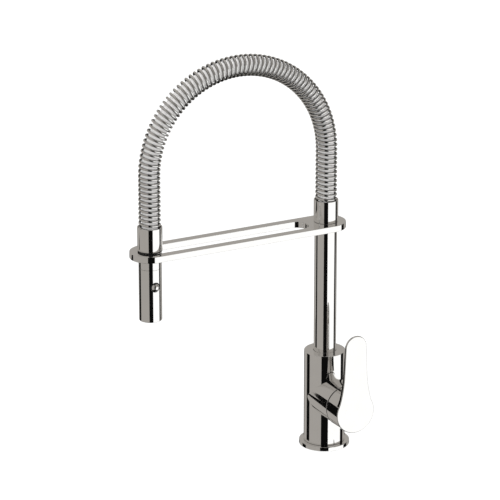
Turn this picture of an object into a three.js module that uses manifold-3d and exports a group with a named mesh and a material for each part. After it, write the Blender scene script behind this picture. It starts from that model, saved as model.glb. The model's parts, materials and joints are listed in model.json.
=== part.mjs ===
// A single-lever pull-down kitchen faucet: a round body with a side lever, a slim swivelling column,
// a slotted arm, a coil spring arch that guards the hose, and a spray handset docked under the arm.
// Millimetres, +Z up. The origin is the centre of the base, on the deck. The spout points along -Y
// and the lever stands on the +X side.
import * as THREE from 'three';
import { mergeVertices } from 'three/addons/utils/BufferGeometryUtils.js';
import Module from 'manifold-3d';

const wasm = await Module();
wasm.setup();

// ---------------------------------------------------------------- driving dimensions
const gap = 0.3; // running clearance between neighbouring pieces
const fine = 40; // facets of the large round pieces
const coarse = 20; // facets of the small or hidden round pieces

const flangeRadius = 30.5;
const flangeHeight = 5;
const bodyRadius = 25;
const bodyTop = 121.4;
const bodyBoreRadius = 21.5;
const bodyTopThickness = 4;

const leverAxisHeight = 65.6;
const housingRadius = 24.9;
const housingBoreRadius = 21;
const housingEnd = 49;
const seamWidth = 2.2;
const hubRadius = 25.3;
const paddleFace = 77;
const paddleThickness = 5.5;
const paddleTopRadius = 14.1;
const paddleTopCentre = 84;

const columnRadius = 13.5;
const columnBoreRadius = 11.5;
const columnBottom = 90.5;
const columnTop = 300;

const reach = 234;
const armTop = 286.2;
const armThickness = 7.6;
const armHalfWidth = 24;
const slotApex = 25.6; // slot end to the column's axis; the slot's other end rounds the dock

const sleeveRadius = 14.65;
const columnSleeveTop = 313.4;
const dockSleeveTop = 316;
const grooveHeight = 1.6;

const springRadius = 13;
const springBoreRadius = 9.8;
const conduitRadius = 9.4;
const conduitBoreRadius = 7.9;
const hoseRadius = 5.7;
const archStart = 301;
const archShoulder = 377;
const archRadius = reach / 2;

const handsetRadius = 13.5;
const handsetTop = 265.9;
const handsetBottom = 201.5;
const handsetBoreRadius = 12.1;
const buttonHeight = 245;
const buttonRadius = 4.9;
const buttonShoulder = 13;
const buttonReach = 17.4;
const buttonTravel = 2.2;

const armBottom = armTop - armThickness;
const armMiddle = armTop - armThickness / 2;
const hubStart = housingEnd + seamWidth;
const housingTopOfBore = bodyTop - bodyTopThickness;
const springSeat = archStart - gap * 2;

// ---------------------------------------------------------------- materials
function finish(name, color, metalness, roughness) {
  return new THREE.MeshStandardMaterial({ name, color, metalness, roughness });
}

const chrome = finish('chrome', 0xc9c8c6, 1, 0.07);
const springSteel = finish('spring_steel', 0xc2c1bf, 1, 0.16);
const brass = finish('brass', 0xb5925a, 1, 0.35);
const steel = finish('steel', 0x9c9d9f, 1, 0.3);
const rubber = finish('rubber', 0x1c1c1d, 0, 0.75);
const ceramic = finish('ceramic', 0xf0eee8, 0, 0.25);
const whitePlastic = finish('white_plastic', 0xdedcd6, 0, 0.45);
const greyPlastic = finish('grey_plastic', 0x6f7072, 0, 0.5);
const braid = finish('braid', 0x8c8d8f, 0.4, 0.45);

// ---------------------------------------------------------------- shape helpers
const faucet = new THREE.Group();

function addPart(name, geometry, material, parent = faucet) {
  const part = new THREE.Mesh(geometry, material);
  part.name = name;
  parent.add(part);
  return part;
}

// Turns a profile of [radius, height] pairs about +Z. It runs anticlockwise: out, up and back in.
function turned(profile, sides = coarse) {
  const closesOnAxis = profile[0][0] === 0;
  const points = profile.map(([radius, height]) => new THREE.Vector2(radius, height));
  if (!closesOnAxis) {
    points.push(points[0].clone());
  }
  const geometry = new THREE.LatheGeometry(points, sides);
  geometry.rotateX(Math.PI / 2);
  return geometry;
}

function cylinder(radius, bottom, top, sides = coarse) {
  return turned([[0, bottom], [radius, bottom], [radius, top], [0, top]], sides);
}

function ring(outer, inner, bottom, top, sides = coarse) {
  return turned([[inner, bottom], [outer, bottom], [outer, top], [inner, top]], sides);
}

// A cylinder along +X from one place to another, at a side offset and height.
function crosswise(radius, from, to, y, z, sides = coarse) {
  const geometry = cylinder(radius, from, to, sides);
  geometry.rotateY(Math.PI / 2);
  geometry.translate(0, y, z);
  return geometry;
}

function polygon(radius, sides) {
  return Array.from({ length: sides }, (_, i) => {
    const angle = (2 * Math.PI * i) / sides;
    return new THREE.Vector2(radius * Math.cos(angle), radius * Math.sin(angle));
  });
}

// A round tube, or a round bar where bore is 0, swept along a curve.
function swept(curve, outer, bore, sides, steps) {
  const section = new THREE.Shape(polygon(outer, sides));
  if (bore > 0) {
    section.holes.push(new THREE.Path(polygon(bore, sides).reverse()));
  }
  return new THREE.ExtrudeGeometry(section, { extrudePath: curve, steps, bevelEnabled: false });
}

function toSolid(geometry) {
  const bare = geometry.clone();
  bare.deleteAttribute('normal');
  bare.deleteAttribute('uv');
  const merged = mergeVertices(bare, 1e-4);
  const corners = merged.index.array;
  const triangles = [];
  for (let i = 0; i < corners.length; i += 3) {
    const [a, b, c] = [corners[i], corners[i + 1], corners[i + 2]];
    if (a !== b && b !== c && c !== a) {
      triangles.push(a, b, c);
    }
  }
  return new wasm.Manifold(new wasm.Mesh({
    numProp: 3,
    vertProperties: new Float32Array(merged.attributes.position.array),
    triVerts: new Uint32Array(triangles),
  }));
}

function toGeometry(solid) {
  const mesh = solid.getMesh();
  const geometry = new THREE.BufferGeometry();
  geometry.setAttribute('position', new THREE.BufferAttribute(new Float32Array(mesh.vertProperties), 3));
  geometry.setIndex(new THREE.BufferAttribute(new Uint32Array(mesh.triVerts), 1));
  return geometry;
}

function cutFrom(whole, ...tools) {
  let solid = toSolid(whole);
  for (const tool of tools) {
    solid = solid.subtract(toSolid(tool));
  }
  return toGeometry(solid);
}

// The centreline of the spring and its hose: up the column side, over a half circle, down the spray side.
class ArchCurve extends THREE.Curve {
  constructor(lastHeight) {
    super();
    this.rise = archShoulder - archStart;
    this.bend = Math.PI * archRadius;
    this.fall = archShoulder - lastHeight;
  }

  getPoint(share, target = new THREE.Vector3()) {
    const along = share * (this.rise + this.bend + this.fall);
    if (along <= this.rise) {
      return target.set(0, 0, archStart + along);
    }
    if (along <= this.rise + this.bend) {
      const angle = (along - this.rise) / archRadius;
      const y = -archRadius * (1 - Math.cos(angle));
      return target.set(0, y, archShoulder + archRadius * Math.sin(angle));
    }
    return target.set(0, -reach, archShoulder - (along - this.rise - this.bend));
  }
}

// ---------------------------------------------------------------- base
const gasketGroove = { outer: 28.3, inner: 24.7, depth: 2 };
const flangeBevel = 0.8;
const flangeBore = 21.6;
addPart('base_flange', turned([
  [flangeBore, 0],
  [gasketGroove.inner, 0],
  [gasketGroove.inner, gasketGroove.depth],
  [gasketGroove.outer, gasketGroove.depth],
  [gasketGroove.outer, 0],
  [flangeRadius, 0],
  [flangeRadius, flangeHeight - flangeBevel],
  [flangeRadius - flangeBevel, flangeHeight],
  [flangeBore, flangeHeight],
], fine), chrome);
const gasketOuter = gasketGroove.outer - gap;
const gasketInner = gasketGroove.inner + gap;
addPart('base_gasket', ring(gasketOuter, gasketInner, 0, gasketGroove.depth - gap, fine), rubber);

// The brass block that the supply hoses and the two fixing studs screw into from below.
const blockHeight = 14;
const blockRadius = 21.2;
const socketRadius = 5;
const socketDepth = 10;
const studRadius = 2.75;
const hosePassage = { x: -10, radius: 6.3 };
const supplySockets = [[4, 12.5], [4, -12.5], [13.5, 0]];
const studSockets = [[12.5, 12.5], [-12.5, -12.5]];
function drilled(radius, x, y, depth, sides) {
  const hole = cylinder(radius, -1, depth, sides);
  hole.translate(x, y, 0);
  return hole;
}
addPart('inlet_block', cutFrom(
  cylinder(blockRadius, 0, blockHeight, fine),
  ...supplySockets.map(([x, y]) => drilled(socketRadius, x, y, socketDepth, coarse)),
  ...studSockets.map(([x, y]) => drilled(studRadius, x, y, socketDepth, 12)),
  drilled(hosePassage.radius, hosePassage.x, 0, blockHeight + 1, coarse),
), brass);

// ---------------------------------------------------------------- body with its side housing
const bodyBevel = 0.8;
const bodyBottom = flangeHeight + gap;
const bodyOutside = toSolid(turned([
  [0, bodyBottom],
  [bodyRadius, bodyBottom],
  [bodyRadius, bodyTop - bodyBevel],
  [bodyRadius - bodyBevel, bodyTop],
  [0, bodyTop],
], fine)).add(toSolid(crosswise(housingRadius, 0, housingEnd, 0, leverAxisHeight, fine)));
addPart('body_shell', toGeometry(bodyOutside
  .subtract(toSolid(cylinder(bodyBoreRadius, 0, housingTopOfBore, fine)))
  .subtract(toSolid(crosswise(housingBoreRadius, 0, housingEnd + 1, 0, leverAxisHeight, fine)))
  .subtract(toSolid(cylinder(columnRadius + gap, housingTopOfBore - 1, bodyTop + 1, fine)))), chrome);

// ---------------------------------------------------------------- cartridge in the side housing
// The group's own +Z points along the housing, away from the body.
const housing = new THREE.Group();
housing.position.z = leverAxisHeight;
housing.rotation.y = Math.PI / 2;
faucet.add(housing);

const seat = { from: 8.5, to: 15, radius: 17.5 };
const cartridge = { from: seat.to + gap, to: 43, radius: 17.5, wall: 2.5, floor: 2.7, lip: 3, mouth: 6 };
const discThickness = 3;
const discRadii = { fixed: 14.6, moving: 13.6 };
const stemHead = { radius: 10, height: 4 };
const stemRadius = 5;
const stemEnd = 64;
const cartridgeFloor = cartridge.from + cartridge.floor;
const movingDisc = cartridgeFloor + discThickness + 2 * gap;
const stemStart = movingDisc + discThickness + gap;
addPart('cartridge_seat', cylinder(seat.radius, seat.from, seat.to), brass, housing);
addPart('cartridge_body', turned([
  [0, cartridge.from],
  [cartridge.radius, cartridge.from],
  [cartridge.radius, cartridge.to],
  [cartridge.mouth, cartridge.to],
  [cartridge.mouth, cartridge.to - cartridge.lip],
  [cartridge.radius - cartridge.wall, cartridge.to - cartridge.lip],
  [cartridge.radius - cartridge.wall, cartridgeFloor],
  [0, cartridgeFloor],
]), whitePlastic, housing);
const fixedDisc = cartridgeFloor + gap;
addPart('fixed_disc', cylinder(discRadii.fixed, fixedDisc, fixedDisc + discThickness), ceramic, housing);
addPart('moving_disc', cylinder(discRadii.moving, movingDisc, movingDisc + discThickness), ceramic, housing);
addPart('cartridge_stem', turned([
  [0, stemStart],
  [stemHead.radius, stemStart],
  [stemHead.radius, stemStart + stemHead.height],
  [stemRadius, stemStart + stemHead.height],
  [stemRadius, stemEnd],
  [0, stemEnd],
]), steel, housing);
const stemSeal = { outer: 8, from: 31, to: 34 };
const nut = { outer: 20.6, inner: 8, to: 47.3 };
const leverBearingBore = 14;
addPart('stem_seal', ring(stemSeal.outer, stemRadius + gap, stemSeal.from, stemSeal.to), rubber, housing);
addPart('retaining_nut', ring(nut.outer, nut.inner, cartridge.to + gap, nut.to), brass, housing);
addPart('lever_bearing', ring(nut.outer, leverBearingBore, nut.to + gap, housingEnd - 0.1),
  whitePlastic, housing);
const wiper = { outer: 24.75, inner: 21.4, clearance: 0.15 };
addPart('lever_wiper', ring(wiper.outer, wiper.inner, housingEnd + 0.05, hubStart - wiper.clearance),
  rubber, housing);

// Supply and outlet tubes between the inlet block and the cartridge seat.
const tubeRadius = 3;
const tubeX = 11.5;
for (const [name, y] of [['hot_tube', 9], ['cold_tube', -9], ['mixed_tube', 0]]) {
  const nearSide = Math.max(0, Math.abs(y) - tubeRadius);
  const seatUnderside = leverAxisHeight - Math.sqrt(seat.radius ** 2 - nearSide ** 2);
  const tube = addPart(name, cylinder(tubeRadius, blockHeight + gap, seatUnderside - gap, 12), brass);
  tube.position.set(tubeX, y, 0);
}

// ---------------------------------------------------------------- lever
// The handle is drawn about the housing's axis: outline in the YZ plane, thickness along +X.
function paddleOutline() {
  const shoulder = 25; // degrees above the axis where the neck leaves the round end
  const shoulderFlow = 8;
  const angle = THREE.MathUtils.degToRad(shoulder);
  const start = new THREE.Vector2(hubRadius * Math.cos(angle), hubRadius * Math.sin(angle));
  const neck = new THREE.Vector2(15.7, 48);
  const entering = new THREE.Vector2(16.4, 35.5);
  const upward = new THREE.Vector2(-Math.sin(angle), Math.cos(angle));
  const leaving = upward.multiplyScalar(shoulderFlow).add(start);
  const outline = new THREE.Shape();
  outline.moveTo(start.x, start.y);
  outline.bezierCurveTo(leaving.x, leaving.y, entering.x, entering.y, neck.x, neck.y);
  outline.lineTo(paddleTopRadius, paddleTopCentre);
  outline.absarc(0, paddleTopCentre, paddleTopRadius, 0, Math.PI, false);
  outline.lineTo(-neck.x, neck.y);
  outline.bezierCurveTo(-entering.x, entering.y, -leaving.x, leaving.y, -start.x, start.y);
  outline.absarc(0, 0, hubRadius, Math.PI - angle, 2 * Math.PI + angle, false);
  return outline;
}

const hubWall = 4;
const bossRadius = 9;
const hubFloor = paddleFace - 8;
const screwPlace = 58;
const setScrewHoleRadius = 2.4;
const setScrewRadius = 2.1;
const paddle = new THREE.ExtrudeGeometry(paddleOutline(), {
  depth: paddleThickness,
  curveSegments: 10,
  bevelEnabled: false,
});
const outlineToBody = new THREE.Matrix4().makeBasis(
  new THREE.Vector3(0, 1, 0),
  new THREE.Vector3(0, 0, 1),
  new THREE.Vector3(1, 0, 0),
);
paddle.applyMatrix4(outlineToBody);
paddle.translate(paddleFace - paddleThickness, 0, 0);
const hubHollow = ring(hubRadius - hubWall, bossRadius, hubStart - 1, hubFloor);
hubHollow.rotateY(Math.PI / 2);
const screwHole = cylinder(setScrewHoleRadius, -hubRadius - 1, -stemRadius - gap, 12);
screwHole.translate(screwPlace, 0, 0);
const handle = toSolid(paddle)
  .add(toSolid(crosswise(hubRadius, hubStart, paddleFace, 0, 0, fine)))
  .subtract(toSolid(hubHollow))
  .subtract(toSolid(crosswise(stemRadius + gap, hubStart - 1, stemEnd + gap, 0, 0)))
  .subtract(toSolid(screwHole));
addPart('lever_handle', toGeometry(handle), chrome).position.z = leverAxisHeight;
for (const [name, material, bottom, top] of [
  ['lever_set_screw', steel, -bossRadius, -stemRadius - 2 * gap],
  ['lever_screw_plug', greyPlastic, -hubRadius + 0.4, -hubRadius + hubWall - 0.2],
]) {
  const piece = addPart(name, cylinder(setScrewRadius, bottom, top, 12), material);
  piece.position.set(screwPlace, 0, leverAxisHeight);
}

// ---------------------------------------------------------------- column and its swivel
const socket = { outer: 21.2, inner: 15.4, bottom: 96 };
const liner = { outer: 15.1, inner: columnRadius + gap };
const lowerBearing = { bottom: socket.bottom + 0.2, top: 100 };
const upperBearing = { bottom: 110, top: housingTopOfBore - 2 * gap };
const oRingHeight = 2.4;
const oRingBottoms = { lower: 102, upper: 106 };
const clip = { outer: 17.5, bottom: 92 };
addPart('column_socket', ring(socket.outer, socket.inner, socket.bottom, housingTopOfBore - gap), brass);
addPart('lower_bearing', ring(liner.outer, liner.inner, lowerBearing.bottom, lowerBearing.top), whitePlastic);
addPart('upper_bearing', ring(liner.outer, liner.inner, upperBearing.bottom, upperBearing.top), whitePlastic);
for (const [place, bottom] of Object.entries(oRingBottoms)) {
  addPart(`${place}_o_ring`, ring(liner.outer, liner.inner, bottom, bottom + oRingHeight), rubber);
}
addPart('column_clip', ring(clip.outer, liner.inner, clip.bottom, socket.bottom - gap), steel);
addPart('column_tube', ring(columnRadius, columnBoreRadius, columnBottom, columnTop, fine), chrome);

// ---------------------------------------------------------------- arm
function armOutline() {
  const outline = new THREE.Shape();
  outline.absarc(0, 0, armHalfWidth, 0, Math.PI, false);
  outline.absarc(0, -reach, armHalfWidth, Math.PI, 2 * Math.PI, false);
  const holeRadius = columnRadius + gap;
  const slot = new THREE.Path();
  slot.absarc(0, -slotApex - holeRadius, holeRadius, 0, Math.PI, false);
  slot.absarc(0, -reach, holeRadius, Math.PI, 2 * Math.PI, false);
  outline.holes.push(slot);
  outline.holes.push(new THREE.Path(polygon(holeRadius, fine)));
  return outline;
}

const screwHoleRadius = 2.3;
const screwRadius = 2;
const screwInner = -columnRadius - 2 * gap;
const screwSunk = 0.6;
const armPlate = new THREE.ExtrudeGeometry(armOutline(), {
  depth: armThickness,
  curveSegments: 16,
  bevelEnabled: false,
});
armPlate.translate(0, 0, armBottom);
addPart('arm', cutFrom(
  armPlate,
  ...[0, -reach].map((y) => crosswise(screwHoleRadius, -armHalfWidth - 1, screwInner, y, armMiddle, 12)),
), chrome);
for (const [name, y] of [['arm_screw_column', 0], ['arm_screw_dock', -reach]]) {
  addPart(name, crosswise(screwRadius, -armHalfWidth + screwSunk, screwInner - 0.1, y, armMiddle, 12), steel);
}

// ---------------------------------------------------------------- sleeves that hold the spring's ends
const sprayLine = new THREE.Group();
sprayLine.position.y = -reach;
faucet.add(sprayLine);

const springSocket = springRadius + 0.35;
function sleeve(bottom, top) {
  return turned([
    [liner.inner, bottom],
    [sleeveRadius, bottom],
    [sleeveRadius, top],
    [springSocket, top],
    [springSocket, springSeat],
    [liner.inner, springSeat],
  ], fine);
}

const sealRadius = 14.3;
const dockSleeveBottom = armTop + gap + grooveHeight;
addPart('column_sleeve', sleeve(armTop + gap, columnSleeveTop), chrome);
addPart('dock_sleeve', sleeve(dockSleeveBottom, dockSleeveTop), chrome, sprayLine);
addPart('dock_seal', ring(sealRadius, liner.inner, armTop + gap, dockSleeveBottom - gap, fine),
  rubber, sprayLine);

// ---------------------------------------------------------------- dock under the arm
const dockSeam = 0.2;
const dockBottom = handsetTop + dockSeam;
const dockBore = 12.1;
const dockBush = { bore: 9.3, bottom: 268 };
addPart('dock_tube', ring(columnRadius, dockBore, dockBottom, columnTop, fine), chrome, sprayLine);
addPart('dock_bush', ring(dockBore - gap, dockBush.bore, dockBush.bottom, columnTop), greyPlastic, sprayLine);

// ---------------------------------------------------------------- spring arch, conduit and hose
const archSteps = 34;
const wholeArch = new ArchCurve(archStart);
const archToShoulder = new ArchCurve(archShoulder);
addPart('arch_spring', swept(wholeArch, springRadius, springBoreRadius, 12, archSteps), springSteel);
addPart('hose_conduit', swept(wholeArch, conduitRadius, conduitBoreRadius, 8, archSteps), greyPlastic);
addPart('arch_hose', swept(archToShoulder, hoseRadius, 0, 8, archSteps - 4), braid);
addPart('riser_hose', cylinder(hoseRadius, columnBottom + gap, archStart - gap, 12), braid);
const bodyHoseCurve = new THREE.CubicBezierCurve3(
  new THREE.Vector3(hosePassage.x, 0, blockHeight + 1),
  new THREE.Vector3(hosePassage.x, 0, 50),
  new THREE.Vector3(0, 0, 50),
  new THREE.Vector3(0, 0, columnBottom),
);
addPart('body_hose', swept(bodyHoseCurve, hoseRadius, 0, 8, 12), braid);

// ---------------------------------------------------------------- hose end that slides through the dock
const nutTop = 276;
const nippleBottom = 258.3;
const nippleRadius = 4.6;
const nutRadius = 8.6;
const nippleSeal = { outer: 6.5, bottom: 259.5, top: 262 };
addPart('drop_hose', cylinder(hoseRadius, nutTop + gap, archShoulder - gap, 12), braid, sprayLine);
addPart('hose_nipple', turned([
  [0, nippleBottom],
  [nippleRadius, nippleBottom],
  [nippleRadius, handsetTop + gap],
  [nutRadius, handsetTop + gap],
  [nutRadius, nutTop],
  [0, nutTop],
]), brass, sprayLine);
addPart('nipple_o_ring', ring(nippleSeal.outer, nippleRadius + gap, nippleSeal.bottom, nippleSeal.top),
  rubber, sprayLine);

// ---------------------------------------------------------------- spray handset
const rim = 0.5;
const shellRoof = handsetTop - 2.3;
const neckHole = nippleRadius + 0.4;
const handsetProfile = [
  [handsetBoreRadius, handsetBottom],
  [handsetRadius - rim, handsetBottom],
  [handsetRadius, handsetBottom + rim],
  [handsetRadius, handsetTop - rim],
  [handsetRadius - rim, handsetTop],
  [neckHole, handsetTop],
  [neckHole, shellRoof],
  [handsetBoreRadius, shellRoof],
];
const insertRadius = handsetBoreRadius - 0.4;
const insert = { bottom: 218, top: 257.5 };
const pocket = { from: 3, radius: 5.4 };
const collar = { outer: 5.9, inner: buttonRadius + 0.2, from: insertRadius + 0.1, to: 13.1 };
const channel = { from: -8.8, radius: 3 };
const waterway = { x: -5, radius: 3.6 };
addPart('handset_shell', cutFrom(
  turned(handsetProfile, fine),
  crosswise(collar.outer + gap / 2, 5, handsetRadius + 1, 0, buttonHeight),
), chrome, sprayLine);
const verticalWaterway = cylinder(waterway.radius, insert.bottom - 1, insert.top + 1, 12);
verticalWaterway.translate(waterway.x, 0, 0);
addPart('handset_insert', cutFrom(
  cylinder(insertRadius, insert.bottom, insert.top),
  crosswise(pocket.radius, pocket.from, insertRadius + 1, 0, buttonHeight),
  crosswise(channel.radius, channel.from, pocket.from + 1, 0, buttonHeight, 12),
  verticalWaterway,
), whitePlastic, sprayLine);
const valve = { bottom: 250, top: insert.top - 0.5 };
const valveBody = cylinder(waterway.radius - 0.4, valve.bottom, valve.top, 12);
addPart('check_valve', valveBody, greyPlastic, sprayLine).position.x = waterway.x;

const aerator = { radius: 6.5, bottom: handsetBottom + 0.9, top: 214 };
const plate = { inner: aerator.radius + gap, bottom: handsetBottom + 0.5, top: 203.7 };
const aeratorSeat = plate.top + gap;
const nozzles = { outer: 9.1, inner: aerator.radius + 2 * gap, height: 2 };
addPart('aerator_housing', ring(insertRadius, nozzles.outer + gap, aeratorSeat, insert.bottom - gap),
  whitePlastic, sprayLine);
addPart('aerator_cartridge', cylinder(aerator.radius, aerator.bottom, aerator.top), greyPlastic, sprayLine);
addPart('spray_face', ring(insertRadius, plate.inner, plate.bottom, plate.top, fine), greyPlastic, sprayLine);
addPart('nozzle_ring', ring(nozzles.outer, nozzles.inner, aeratorSeat, aeratorSeat + nozzles.height),
  rubber, sprayLine);

// ---------------------------------------------------------------- push button and its diverter
// The group's own +Z points out through the side of the handset.
const buttonLine = new THREE.Group();
buttonLine.position.z = buttonHeight;
buttonLine.rotation.y = Math.PI / 2;
sprayLine.add(buttonLine);

const buttonBack = 8.2;
const domeSteps = 5;
const buttonDome = Array.from({ length: domeSteps + 1 }, (_, i) => {
  const angle = (i / domeSteps) * (Math.PI / 2);
  const height = buttonShoulder + (buttonReach - buttonShoulder) * Math.sin(angle);
  return [i === domeSteps ? 0 : buttonRadius * Math.cos(angle), height];
});
addPart('button_collar', ring(collar.outer, collar.inner, collar.from, collar.to), rubber, buttonLine);
addPart('spray_button', turned([
  [0, buttonBack],
  [buttonRadius, buttonBack],
  ...buttonDome,
]), chrome, buttonLine);
const coil = { outer: 4.5, inner: 3.2 };
addPart('button_spring', ring(coil.outer, coil.inner, pocket.from + gap, buttonBack - gap), steel, buttonLine);
const plunger = { start: channel.from + buttonTravel + 0.4, radius: channel.radius - 0.4, rod: 1.4 };
addPart('diverter_plunger', turned([
  [0, plunger.start],
  [plunger.radius, plunger.start],
  [plunger.radius, pocket.from],
  [plunger.rod, pocket.from],
  [plunger.rod, buttonBack - gap],
  [0, buttonBack - gap],
], 12), brass, buttonLine);

export default faucet;
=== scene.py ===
# The looks of a pull-down kitchen faucet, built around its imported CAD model. Metres, +Z up.
# The spout points along -Y and the lever stands on the +X side, as in the CAD.
import json
import math

import bpy
import numpy as np
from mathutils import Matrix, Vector
from mathutils.geometry import tessellate_polygon


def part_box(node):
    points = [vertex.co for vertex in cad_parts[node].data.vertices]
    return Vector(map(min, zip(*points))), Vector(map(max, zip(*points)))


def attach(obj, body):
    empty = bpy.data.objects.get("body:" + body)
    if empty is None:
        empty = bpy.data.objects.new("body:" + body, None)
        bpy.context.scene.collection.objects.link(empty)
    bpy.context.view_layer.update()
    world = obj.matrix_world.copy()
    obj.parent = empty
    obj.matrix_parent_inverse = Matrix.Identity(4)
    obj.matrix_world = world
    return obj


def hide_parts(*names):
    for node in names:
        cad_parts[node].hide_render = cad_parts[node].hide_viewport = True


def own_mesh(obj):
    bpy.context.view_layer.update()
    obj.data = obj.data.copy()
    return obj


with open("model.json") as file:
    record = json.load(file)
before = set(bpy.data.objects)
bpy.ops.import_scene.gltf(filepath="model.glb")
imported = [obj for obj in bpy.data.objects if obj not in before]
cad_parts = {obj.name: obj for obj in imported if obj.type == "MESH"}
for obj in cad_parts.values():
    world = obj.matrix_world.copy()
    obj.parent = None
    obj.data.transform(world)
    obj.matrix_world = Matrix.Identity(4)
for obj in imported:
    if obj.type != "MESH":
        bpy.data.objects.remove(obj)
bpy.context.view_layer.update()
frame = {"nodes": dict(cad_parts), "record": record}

scene = bpy.context.scene
MM = 0.001

# ---------------------------------------------------------------- camera
CAMERA_AZIMUTH = math.radians(62.174)
CAMERA_ELEVATION = math.radians(19.33)
CAMERA_DISTANCE = 3.7
CAMERA_TARGET = Vector((0.0062, -0.1058, 0.2681))
CAMERA_LENS = 225.66
SENSOR = 36.0

toward_camera = Vector((math.sin(CAMERA_AZIMUTH), -math.cos(CAMERA_AZIMUTH), 0))
across_view = Vector((math.cos(CAMERA_AZIMUTH), math.sin(CAMERA_AZIMUTH), 0))


def add_camera():
    data = bpy.data.cameras.new("camera")
    data.lens = CAMERA_LENS
    data.sensor_width = SENSOR
    data.clip_end = 100
    camera = bpy.data.objects.new("camera", data)
    scene.collection.objects.link(camera)
    line = toward_camera * math.cos(CAMERA_ELEVATION) + Vector((0, 0, math.sin(CAMERA_ELEVATION)))
    camera.location = CAMERA_TARGET + line * CAMERA_DISTANCE
    camera.rotation_euler = line.to_track_quat("Z", "Y").to_euler()
    scene.camera = camera


add_camera()


# ---------------------------------------------------------------- node helpers
def new_nodes(owner):
    owner.use_nodes = True
    tree = owner.node_tree
    tree.nodes.clear()
    return tree


def add_node(tree, kind, settings=None, **inputs):
    """Adds a node with settings for its own properties and inputs that are values, colours or sockets."""
    node = tree.nodes.new(kind)
    for name, value in (settings or {}).items():
        setattr(node, name, value)
    for name, value in inputs.items():
        socket = node.inputs[name.replace("_", " ")]
        if isinstance(value, bpy.types.NodeSocket):
            tree.links.new(value, socket)
        else:
            socket.default_value = value
    return node


def math_node(tree, operation, first, second=0.0):
    node = add_node(tree, "ShaderNodeMath", {"operation": operation})
    for socket, value in zip(node.inputs, (first, second)):
        if isinstance(value, bpy.types.NodeSocket):
            tree.links.new(value, socket)
        else:
            socket.default_value = value
    return node.outputs[0]


def ramp_node(tree, factor, stops):
    node = add_node(tree, "ShaderNodeValToRGB", Fac=factor)
    elements = node.color_ramp.elements
    while len(elements) > 1:
        elements.remove(elements[-1])
    elements[0].position = stops[0][0]
    elements[0].color = (*stops[0][1], 1)
    for place, colour in stops[1:]:
        elements.new(place).color = (*colour, 1)
    return node.outputs["Color"]


# ---------------------------------------------------------------- studio
SOFT_GREY = (0.40, 0.38, 0.355)
WHITE_CARD = (1.19, 1.19, 1.18)
SKY_LIGHT = 1.45  # how strongly the studio lights matt surfaces
BLACK_CARD = (0.0034, 0.0033, 0.0032)
# The studio's lower walls, as degrees from the camera's side, positive to the right of the view.
WALLS = [
    (-180, BLACK_CARD),
    (-158, BLACK_CARD),
    (-154, SOFT_GREY),
    (-1, SOFT_GREY),
    (1, WHITE_CARD),
    (110, WHITE_CARD),
    (115, SOFT_GREY),
    (154, SOFT_GREY),
    (158, BLACK_CARD),
    (180, BLACK_CARD),
]
# A tall black strip on the right, in the same degrees.
STRIP = [(-180, 0.0), (98.5, 0.0), (101.5, 1.0), (124, 1.0), (127, 0.0), (180, 0.0)]
# The studio from straight down (-1) to straight up (1): how much of the walls shows, and what else there is.
WALL_SHARES = [(-1.0, 0.0), (-0.85, 0.0), (-0.7, 1.0), (0.1, 1.0), (0.2, 0.0), (1.0, 0.0)]
CEILING = [
    (-1.0, BLACK_CARD),
    (-0.7, BLACK_CARD),
    (0.1, SOFT_GREY),
    (0.8, SOFT_GREY),
    (1.0, (0.5, 0.49, 0.48)),
]
# Black cards that stand near the object. Each has two corners in plan, as metres to the right and toward the
# camera, and its lower and upper edges.
BLACK_FLAGS = {
    "front_flag": ((-0.380, 1.092), (0.498, 1.376), -2.0, 8.0),
    "left_flag": ((-0.733, -0.032), (-0.469, -0.199), -1.5, 0.13),
    "low_left_flag": ((-0.469, -0.199), (-0.433, -0.222), -1.5, -0.02),
}


def dot_with(tree, direction, axis):
    dot = add_node(tree, "ShaderNodeVectorMath", {"operation": "DOT_PRODUCT"})
    tree.links.new(direction, dot.inputs[0])
    dot.inputs[1].default_value = axis
    return dot.outputs["Value"]


def add_studio():
    world = bpy.data.worlds.new("studio")
    scene.world = world
    tree = new_nodes(world)
    direction = add_node(tree, "ShaderNodeTexCoord").outputs["Generated"]
    across = dot_with(tree, direction, across_view)
    toward = dot_with(tree, direction, toward_camera)
    angle = math_node(tree, "ARCTAN2", across, toward)
    turn = math_node(tree, "ADD", math_node(tree, "DIVIDE", angle, 2 * math.pi), 0.5)
    walls = ramp_node(tree, turn, [((degrees + 180) / 360, colour) for degrees, colour in WALLS])
    height = add_node(tree, "ShaderNodeSeparateXYZ", Vector=direction).outputs["Z"]
    level = math_node(tree, "ADD", math_node(tree, "DIVIDE", height, 2.0), 0.5)
    share = ramp_node(tree, level, [((z + 1) / 2, (v, v, v)) for z, v in WALL_SHARES])
    ceiling = ramp_node(tree, level, [((z + 1) / 2, colour) for z, colour in CEILING])
    blend = add_node(tree, "ShaderNodeMix", {"data_type": "RGBA"})
    tree.links.new(share, blend.inputs["Factor"])
    tree.links.new(ceiling, blend.inputs[6])
    tree.links.new(walls, blend.inputs[7])
    strip = ramp_node(tree, turn, [((degrees + 180) / 360, (v, v, v)) for degrees, v in STRIP])
    studio = add_node(tree, "ShaderNodeMix", {"data_type": "RGBA"})
    tree.links.new(strip, studio.inputs["Factor"])
    tree.links.new(blend.outputs[2], studio.inputs[6])
    studio.inputs[7].default_value = (*BLACK_CARD, 1)
    shader = add_node(tree, "ShaderNodeBackground", Color=studio.outputs[2]).outputs[0]
    rays = add_node(tree, "ShaderNodeLightPath")
    for ray, strength in (("Is Diffuse Ray", SKY_LIGHT), ("Is Camera Ray", 1.0)):
        plain = add_node(tree, "ShaderNodeBackground", Color=(1, 1, 1, 1), Strength=strength)
        mix = add_node(tree, "ShaderNodeMixShader", Fac=rays.outputs[ray])
        tree.links.new(shader, mix.inputs[1])
        tree.links.new(plain.outputs[0], mix.inputs[2])
        shader = mix.outputs[0]
    add_node(tree, "ShaderNodeOutputWorld", Surface=shader)


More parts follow.
